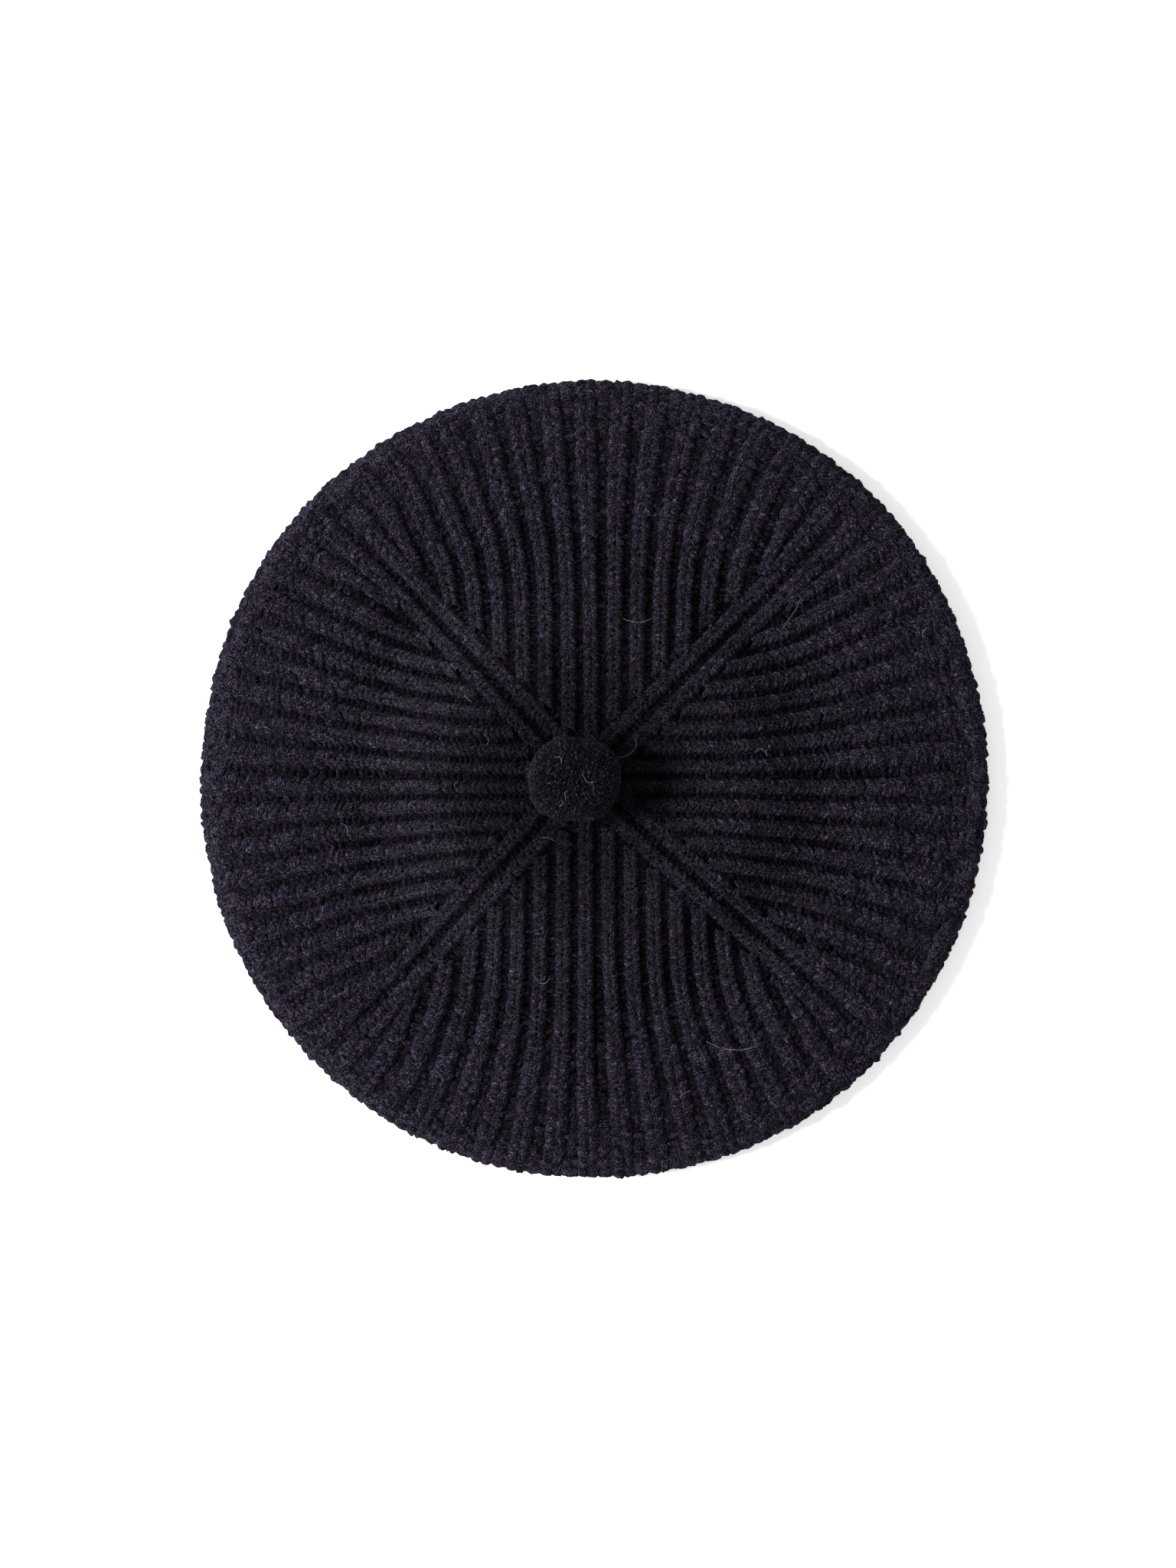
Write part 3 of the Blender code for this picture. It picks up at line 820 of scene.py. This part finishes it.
def ground_quarter(quarter):
    """The closed body of fabric under one quarter's stitches."""
    _, (low, high), count, _, _ = QUARTERS[quarter]
    columns = 121
    radii = np.concatenate([np.linspace(HOLE_R, 90, 66), np.linspace(90, RIM_START, 30)[1:]])
    turns = np.radians(np.linspace(low, high, columns))
    pull = 1 - smooth(40, 104, radii)
    grid_x = radii[:, None] * np.cos(turns) + CENTRE[0] * pull[:, None]
    grid_y = radii[:, None] * np.sin(turns) + CENTRE[1] * pull[:, None]
    top = np.stack([grid_x, grid_y, crown_height(grid_x, grid_y)], -1)
    phase = valley_phase(stretch_outline(top), quarter)
    pick = np.linspace(0, len(MERIDIAN) - 1, 60).astype(int)[1:]
    out = np.stack([np.cos(turns), np.sin(turns), np.zeros_like(turns)], -1)
    up = np.array([0.0, 0.0, 1.0])
    below = MERIDIAN[pick, :1, None] * out + MERIDIAN[pick, 1:, None] * up
    below_normal = MERIDIAN_NORMAL[pick, :1, None] * out + MERIDIAN_NORMAL[pick, 1:, None] * up
    index = np.arange(columns) / (columns - 1) * count - 0.5
    below_phase = np.broadcast_to(np.abs((index + 0.5) % 1 - 0.5) * 2, (len(pick), columns))
    points = stretch_outline(np.concatenate([top, below]))
    normals = np.concatenate([crown_normal(grid_x, grid_y), below_normal])
    phase = np.concatenate([phase, below_phase])
    brim = smooth(100, RIM_START, np.hypot(points[..., 0], points[..., 1]))
    depth = 1.3 + (2.3 - 1.5 * brim) * smooth(0.35, 0.85, phase)
    outer = points - normals * depth[..., None]
    inner = points - normals * (FABRIC - 0.1 - 0.7 * (1 - phase))[..., None]
    verts, faces = closed_sheet(outer, inner)
    verts[:, 2] = np.maximum(verts[:, 2], 2 * TABLE_GAP)
    # the outer face gets the painted shade of the valleys and round the pom-pom
    shade = np.concatenate([(depth_shade(-depth) * painted_pompom_shade(points)).ravel(), np.full(phase.size, 0.5)])
    ob = new_object(f"fabric_{quarter}", verts, faces, [SHADED_GROUND], plain_wool(len(verts), shade))
    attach(ob, "shell")
    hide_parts(f"gore_{quarter}")


for quarter in QUARTERS:
    ground_quarter(quarter)


# ---- fuzz

def wander(root, normal, along, side, length, lift, curl, steps):
    """Paths of curly fibres that start at root and wander over the fabric, or stand off it by lift."""
    bearing = rng.uniform(0, 2 * np.pi, len(root))
    line = [root]
    for step in range(1, steps):
        bearing = bearing + curl
        rise = lift * (1 - 1.5 * step / steps)
        go = along * np.cos(bearing)[:, None] + side * np.sin(bearing)[:, None] + normal * rise[:, None]
        line.append(line[-1] + go * (length / (steps - 1))[:, None])
    return np.stack(line, 1)


def hair_object(name, paths, ups, tones, width, material):
    """Many fibres as one object."""
    taper = np.interp(np.linspace(0, 1, paths.shape[1]), [0, 0.3, 0.7, 1], [0.8, 1, 0.9, 0.35])
    verts, faces, per = ribbons(paths, ups, width[:, None] * taper)
    verts[:, 2] = np.maximum(verts[:, 2], TABLE_GAP)
    return new_object(name, verts, faces, [material], attributes={"tone": np.repeat(tones, per)})


def fuzz_quarter(quarter, part, count):
    """Short loose fibres lying over the knit."""
    ribs = RIB_LINES[quarter]
    lengths = np.array([rib.length - MERIDIAN_RUN[-1] + np.pi * RIM * 0.8 for rib in ribs])
    share = rng.choice(len(ribs), count, p=lengths / lengths.sum())
    steps = 4
    paths, ups, shades = [], [], []
    for k, rib in enumerate(ribs):
        n = int((share == k).sum())
        s = rng.uniform(0.5, lengths[k], n)
        pitch, width = rib.at(rib.pitch, s), rib_width(rib, s)
        b = rng.uniform(-0.5, 0.5, n) * pitch
        outer = smooth(100, RIM_START, np.hypot(*rib.at(rib.points, s)[:, :2].T))
        fall = np.minimum((2 * np.abs(b) / width) ** 2.2, 1.5 - 0.7 * outer)
        c = RIB_CREST - RIB_DROP * fall - 0.15
        root = rib.place(s, b, c)
        shades.append(depth_shade(c) * painted_pompom_shade(root))
        along, side, normal = (rib.at(v, s) for v in (rib.tangents, rib.sides, rib.normals))
        length = rng.gamma(3.0, 0.22, n) + 0.35
        lift = np.abs(rng.normal(0.16, 0.2, n))
        paths.append(wander(root, normal, along, side, length, lift, rng.normal(0, 0.8, n), steps))
        ups.append(np.repeat((normal + rng.normal(0, 0.5, (n, 3)))[:, None], steps, 1))
    # the fibres' tone carries the painted shade of the valleys and round the pom-pom
    tone = rng.beta(0.8, 3.6, count) * np.concatenate(shades)
    width = HAIR * rng.uniform(0.6, 1.4, count)
    ob = hair_object(f"fuzz_{quarter}_{part}", np.concatenate(paths), np.concatenate(ups), tone, width, FUZZ)
    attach(ob, "shell")


def rim_halo(quarter, count):
    """Fibres that stand off the rim all round, paler than the other fuzz: painted sheen of the lit halo."""
    ribs = RIB_LINES[quarter]
    steps = 4
    paths, ups = [], []
    for rib in ribs:
        n = count // len(ribs)
        start = rib.length - MERIDIAN_RUN[-1]
        s = start + rng.uniform(-1.0, np.pi * RIM * 0.95, n)
        b = rng.uniform(-0.5, 0.5, n) * rib.at(rib.pitch, s)
        root = rib.place(s, b, np.full(n, -0.4))
        along, side, normal = (rib.at(v, s) for v in (rib.tangents, rib.sides, rib.normals))
        length = rng.gamma(3.0, 0.25, n) + 0.4
        lift = np.abs(rng.normal(1.1, 0.5, n))
        paths.append(wander(root, normal, along, side, length, lift, rng.normal(0, 0.9, n), steps))
        ups.append(rng.normal(0, 1, (n, steps, 3)) * 0.2 + np.array([0, 0, 1.0]))
    paths, ups = np.concatenate(paths), np.concatenate(ups)
    # paler tones as well: part of the painted sheen
    tone = rng.beta(1.3, 2.3, len(paths))
    width = HAIR * rng.uniform(0.5, 1.0, len(paths))
    ob = hair_object(f"rim_fuzz_{quarter}", paths, ups, tone, width, RIM_FUZZ_PAINTED_SHEEN)
    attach(ob, "shell")


for quarter in QUARTERS:
    for part in range(FUZZ_PARTS):
        fuzz_quarter(quarter, part, FUZZ_COUNT // len(QUARTERS) // FUZZ_PARTS)
    rim_halo(quarter, RIM_FUZZ_COUNT)


def stray_fibres():
    """The few long pale fibres that have settled on the knit."""
    steps = 24
    paths, ups = [], []
    for x, y, length, bearing, bend in STRAYS:
        turn = np.radians(bearing + bend * np.linspace(0, 1, steps)) + np.cumsum(rng.normal(0, 0.07, steps))
        step = length / steps * np.stack([np.cos(turn), np.sin(turn), 0 * turn], -1)
        line = stretch_outline(np.array([x, y, 0.0]) + np.cumsum(step, axis=0))
        line[:, 2] = crown_height(line[:, 0], line[:, 1]) + RIB_CREST + 0.3
        line[:, 2] += 0.25 * np.sin(np.linspace(0, 9, steps) + y)
        paths.append(line)
        ups.append(np.repeat([[0.0, 0.2, 1.0]], steps, 0))
    width = np.full(len(paths), STRAY_WIDTH)
    tones = rng.uniform(0.1, 0.9, len(paths))
    ob = hair_object("stray_fibres", np.array(paths), np.array(ups), tones, width, LINT)
    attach(ob, "shell")


stray_fibres()


# ---- headband

def band_fabric():
    """The strip of rib, folded double, as a closed ribbed ring."""
    turns = np.linspace(0, 2 * np.pi, BAND_RIBS * 8, endpoint=False)
    half = BAND_THICK / 2
    profile = [(half * math.sin(a), half - half * math.cos(a)) for a in np.linspace(-np.pi / 2, np.pi / 2, 9)]
    levels = np.linspace(half, BAND_TOP, 8)[1:]
    loop = np.array([(-half, z) for z in levels[::-1]] + profile + [(half, z) for z in levels])
    relief = 0.42 * np.cos(BAND_RIBS * turns)
    away = np.gradient(loop, axis=0)
    normal = unit(np.stack([away[:, 1], -away[:, 0]], -1))
    r = BAND_R + loop[:, 0][:, None] + normal[:, 0][:, None] * (relief - 0.55)[None]
    z = loop[:, 1][:, None] + normal[:, 1][:, None] * (relief - 0.55)[None]
    verts = np.stack([r * np.cos(turns), r * np.sin(turns), np.maximum(z, TABLE_GAP)], -1)
    k = np.arange(r.size).reshape(r.shape)
    right = np.roll(k, -1, 1)
    faces = np.stack([k, right, np.roll(right, -1, 0), np.roll(k, -1, 0)], -1).reshape(-1, 4)
    return new_object("headband_fabric", verts.reshape(-1, 3), faces, [SHADED_GROUND], plain_wool(r.size, 0.6))


def band_leg(face, level, sign):
    """One leg of the V on every rib of the headband's outer face (1) or inner face (-1), at one level."""
    surface = BAND_R + face * BAND_THICK / 2
    angle = np.arange(BAND_RIBS) / BAND_RIBS * 2 * np.pi
    t = np.linspace(0, 1, 6)
    bearing = angle[:, None] + sign * (0.15 + 1.35 * t) / surface
    r = surface + face * (0.05 - 0.6 * t ** 2 - 0.3 * (1 - t) ** 3) + 0 * bearing
    z = level + 2.1 * t + 0 * bearing + rng.normal(0, 0.08, (BAND_RIBS, 1))
    path = np.stack([r * np.cos(bearing), r * np.sin(bearing), z], -1)
    up = np.stack([np.cos(bearing), np.sin(bearing), 0 * bearing], -1) * face
    swell = 0.52 * (0.6 + 0.4 * np.sin(np.pi * t))
    return path, up, swell[None] * np.ones_like(r), 0.3 - 1.6 * t ** 2 + 0 * r


def band_stitches():
    """The small stitches on both faces of the headband."""
    legs = []
    for face in (-1, 1):
        for level in np.arange(2.2, BAND_TOP - 1.0, BAND_STITCH):
            for sign in (-1, 1):
                legs.append(band_leg(face, level, sign))
    return make_tube_object("headband_stitches", legs, BAND, 7)


for piece in (band_fabric(), band_stitches()):
    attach(piece, "shell")
    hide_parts("headband")


# ---- pom-pom

pom_low, pom_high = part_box("pompom_pile")
POM_CENTRE = np.array((pom_low + pom_high) / 2) / MM
POM_HALF = np.array((pom_high - pom_low) / 2) / MM
POM_TOP = 2.5  # 2 is a ball; above that the trimmed top is flatter
POM_STRANDS, POM_FIBRES = 3200, 16000
# As STRAYS, from the pom-pom's centre
POM_STRAYS = (
    (2, 2, 7, -60, 60), (6, 0, 6, 250, 60), (-2, -4, 4, 200, 120), (-5, -9, 3, 20, 90), (-4, 5, 4, 90, 90),
)
POM_STRAY_WIDTH = 0.065
POM_TUCK = 0.11  # the underside is trimmed this much closer
CLEFT_HALF, CLEFT_TOP = 1.7, -3.5  # underneath, the strands part along X for the two legs of the tie
CLEFT_START = -6  # the strand ends below this are parted
CLEFT_FRAY = 1.0  # and the loose fibres keep this much further away
CLEFT_END = 6.0  # but no further towards +X than the legs swing
STRAND_DEPTH = 2.0  # how far back in there a strand may reach


def pom_shape(directions):
    """Distance of the trimmed surface from the pom-pom's centre, a little square when seen from above."""
    x, y, z = directions.T
    flat = np.hypot(x, y) + 1e-9
    corner = 0.035 * np.cos(4 * np.arctan2(y, x) + 0.5) * flat ** 4
    round_up = np.where(z > 0, POM_TOP, 2.0)
    plan = np.hypot(x / POM_HALF[0], y / POM_HALF[1])
    base = (plan ** round_up + (np.abs(z) / POM_HALF[2]) ** round_up) ** (-1 / round_up)
    uneven = 0.012 * np.sin(7 * x + 3 * y + 1) + 0.012 * np.sin(8 * y - 5 * z) + 0.01 * np.sin(9 * z + 4 * x)
    return base * (1 - corner + uneven) * (1 - POM_TUCK * smooth(0.1, 0.6, -z))


def sphere_points(count):
    """Evenly spread directions."""
    k = np.arange(count) + 0.5
    z = 1 - 2 * k / count
    turn = np.pi * (1 + 5 ** 0.5) * k
    flat = np.sqrt(1 - z * z)
    return np.stack([flat * np.cos(turn), flat * np.sin(turn), z], -1)


def in_cleft(directions, half=CLEFT_HALF):
    """Which strands would stand where the legs of the tie swing."""
    ends = directions * pom_shape(directions)[:, None]
    x, y, z = ends.T
    return (np.abs(y) < half) & (z < CLEFT_START) & (x < CLEFT_END + STRAND_DEPTH)


def pom_core():
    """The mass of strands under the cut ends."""
    rows, columns = 60, 96
    polar = np.linspace(0, np.pi, rows)
    turn = np.linspace(0, 2 * np.pi, columns, endpoint=False)
    x = np.sin(polar)[:, None] * np.cos(turn)
    y = np.sin(polar)[:, None] * np.sin(turn)
    z = np.cos(polar)[:, None] * np.ones(columns)
    d = np.stack([x, y, z], -1).reshape(-1, 3)
    verts = d * (pom_shape(d) - 1.5 + rng.normal(0, 0.12, len(d)))[:, None]
    x, y, z = verts.T
    open_here = (np.abs(y) < CLEFT_HALF) & (z < CLEFT_TOP) & (x < CLEFT_END)
    verts[open_here, 2] = CLEFT_TOP
    verts += POM_CENTRE
    k = np.arange(rows * columns).reshape(rows, columns)
    right = np.roll(k, -1, 1)
    faces = np.stack([k[:-1], k[1:], right[1:], right[:-1]], -1).reshape(-1, 4)
    return new_object("pompom_core", verts, faces, [SHADED_GROUND], plain_wool(len(verts), 0.4))


def clumps(directions):
    """A slow unevenness over the pom-pom: -1 in the gaps between clumps of strands, 1 on the clumps."""
    x, y, z = directions.T
    broad = np.sin(9 * x + 4 * z + 1) * np.sin(10 * y - 3 * x)
    fine = 0.6 * np.sin(17 * z + 9 * x) * np.sin(16 * y + 2)
    return np.clip(broad + fine, -1, 1)


def pom_tufts(count):
    """The cut end of each strand: a short blunt stub that has blown out a little."""
    d = unit(sphere_points(count) + rng.normal(0, 0.016, (count, 3)))
    d = d[~in_cleft(d)]
    count = len(d)
    lean = rng.normal(0, 0.14, (count, 3))
    steps = 5
    t = np.linspace(0, 1, steps)
    proud = rng.normal(0, 0.30, count) + 0.40 * clumps(d)
    depth = (pom_shape(d) + proud - 0.3)[:, None] - 2.6 * (1 - t)
    paths = POM_CENTRE + d[:, None] * depth[..., None] + lean[:, None] * (t * 1.5)[None, :, None]
    up = np.cross(d, rng.normal(0, 1, (count, 3)))
    radii = 0.56 * np.array([0.8, 0.9, 1.0, 0.95, 0.5])[None] * rng.uniform(0.75, 1.3, (count, 1))
    # height gives the painted shade: darker deeper in the pile and in the gaps between clumps
    height = -3.0 * (1 - t) + 2.0 * proud[:, None] - 0.6
    return make_tube_object(
        "pompom_strand_ends", [(paths, np.repeat(up[:, None], steps, 1), radii, height)], PILE, 6,
        pompom_shading=lambda v: 1.0,
    )


def pom_fibres(count):
    """The frayed fibres at the cut ends."""
    d = unit(rng.normal(0, 1, (count, 3)))
    d = d[~in_cleft(d, CLEFT_HALF + CLEFT_FRAY)]
    count = len(d)
    steps = 4
    t = np.linspace(0, 1, steps)
    length = rng.uniform(0.5, 1.25, count)
    side = unit(np.cross(d, rng.normal(0, 1, (count, 3))))
    start = pom_shape(d) - 0.9
    out = start[:, None] + length[:, None] * t
    sway = rng.normal(0, 0.75, count)[:, None] * t ** 2
    paths = POM_CENTRE + d[:, None] * out[..., None] + side[:, None] * sway[..., None]
    up = np.repeat(np.cross(d, side + rng.normal(0, 0.5, (count, 3)))[:, None], steps, 1)
    width = 0.05 * np.array([1, 1, 0.9, 0.4])[None] * rng.uniform(0.7, 1.3, (count, 1))
    verts, faces, per = ribbons(paths, up, width)
    # darker in the gaps between clumps: painted shade
    tone = np.repeat(rng.beta(0.8, 5.0, count) * (0.7 + 0.4 * clumps(d)), per)
    return new_object("pompom_fibres", verts, faces, [FUZZ], attributes={"tone": tone})


def pom_strays():
    """Pale curly fibres caught on the pom-pom's top."""
    steps = 16
    paths, ups = [], []
    for x, y, length, bearing, bend in POM_STRAYS:
        wave = 0.5 * np.sin(np.linspace(0, 8, steps) + x)
        turn = np.radians(bearing + bend * np.linspace(0, 1, steps)) + wave
        step = length / steps * polar(1, turn)
        flat = (np.array([x, y]) + np.cumsum(step, axis=0)) / POM_HALF[:2]
        rise = np.sqrt(np.maximum(1 - (flat ** 2).sum(1), 0.05))
        d = unit(np.column_stack([flat, rise]) * POM_HALF)
        paths.append(POM_CENTRE + d * (pom_shape(d) + 0.35)[:, None])
        ups.append(d)
    width = np.full(len(paths), POM_STRAY_WIDTH)
    tones = rng.uniform(0.2, 1.0, len(paths))
    return hair_object("pompom_stray_fibres", np.array(paths), np.array(ups), tones, width, LINT)


for piece in (pom_core(), pom_tufts(POM_STRANDS), pom_fibres(POM_FIBRES), pom_strays()):
    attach(piece, "pompom")
    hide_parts("pompom_pile")


# ---- pieces kept from the CAD

DRESS = {"seam_yarn": YARN, "tie_yarn": YARN, "label_satin": SATIN, "label_thread": THREAD}


def dress_cad_nodes():
    """Gives each CAD node that stays the material of its slot."""
    for facts in frame["record"]["subparts"]:
        ob = bpy.data.objects.get(facts["node"])
        if ob and facts["material_slot"] in DRESS:
            for slot in ob.material_slots:
                slot.material = DRESS[facts["material_slot"]]


dress_cad_nodes()


# ---- floor, light and camera

FLOOR_HALF, FLOOR_GLOW = 20000, 0.46
KEY_PLACE, KEY_SIZE, KEY_POWER = (-0.91, 0.0, 0.93), 0.45, 30  # metres and watts
WORLD_STRENGTH = 0.55
FRAME_HEIGHT = 0.558  # the height of the view at the table, in metres
BODY_HEIGHT = 0.012  # the camera keeps that distance from the brim, this far over the table
LENS, SENSOR = 85.0, 36.0
AIM = (-0.0022, -0.0016)  # the beret lies a little right of and above the middle of the view


def make_floor():
    corners = [(-1, -1, 0), (1, -1, 0), (1, 1, 0), (-1, 1, 0)]
    verts = FLOOR_HALF * np.array(corners, float)
    mat, _, shader = nodes_of("pale_floor")
    set_inputs(shader, {
        "Base Color": (0.90, 0.90, 0.90, 1), "Roughness": 0.9, "Emission Color": (1, 1, 1, 1),
        "Emission Strength": FLOOR_GLOW,
    })
    floor = new_object("floor", verts, np.array([[0, 1, 2, 3]]), [mat])


def area_light(name, place, size, power):
    """A round light that shines at the middle of the beret's base."""
    data = bpy.data.lights.new(name, "AREA")
    data.shape = "DISK"
    data.size = size
    data.energy = power
    light = bpy.data.objects.new(name, data)
    light.location = place
    light.rotation_euler = (-Vector(place)).to_track_quat("-Z", "Y").to_euler()
    bpy.context.scene.collection.objects.link(light)


def make_world(strength):
    world = bpy.data.worlds.new("studio")
    world.use_nodes = True
    set_inputs(world.node_tree.nodes["Background"], {"Color": (1, 1, 1, 1), "Strength": strength})
    bpy.context.scene.world = world


def make_camera():
    data = bpy.data.cameras.new("camera")
    data.lens = LENS
    data.sensor_width = SENSOR
    camera = bpy.data.objects.new("camera", data)
    camera.location = (*AIM, FRAME_HEIGHT / SENSOR * LENS + BODY_HEIGHT)
    data.clip_end = 20
    bpy.context.scene.collection.objects.link(camera)
    bpy.context.scene.camera = camera


make_floor()
area_light("key", KEY_PLACE, KEY_SIZE, KEY_POWER)
make_world(WORLD_STRENGTH)
make_camera()
bpy.context.scene.view_settings.view_transform = "Standard"
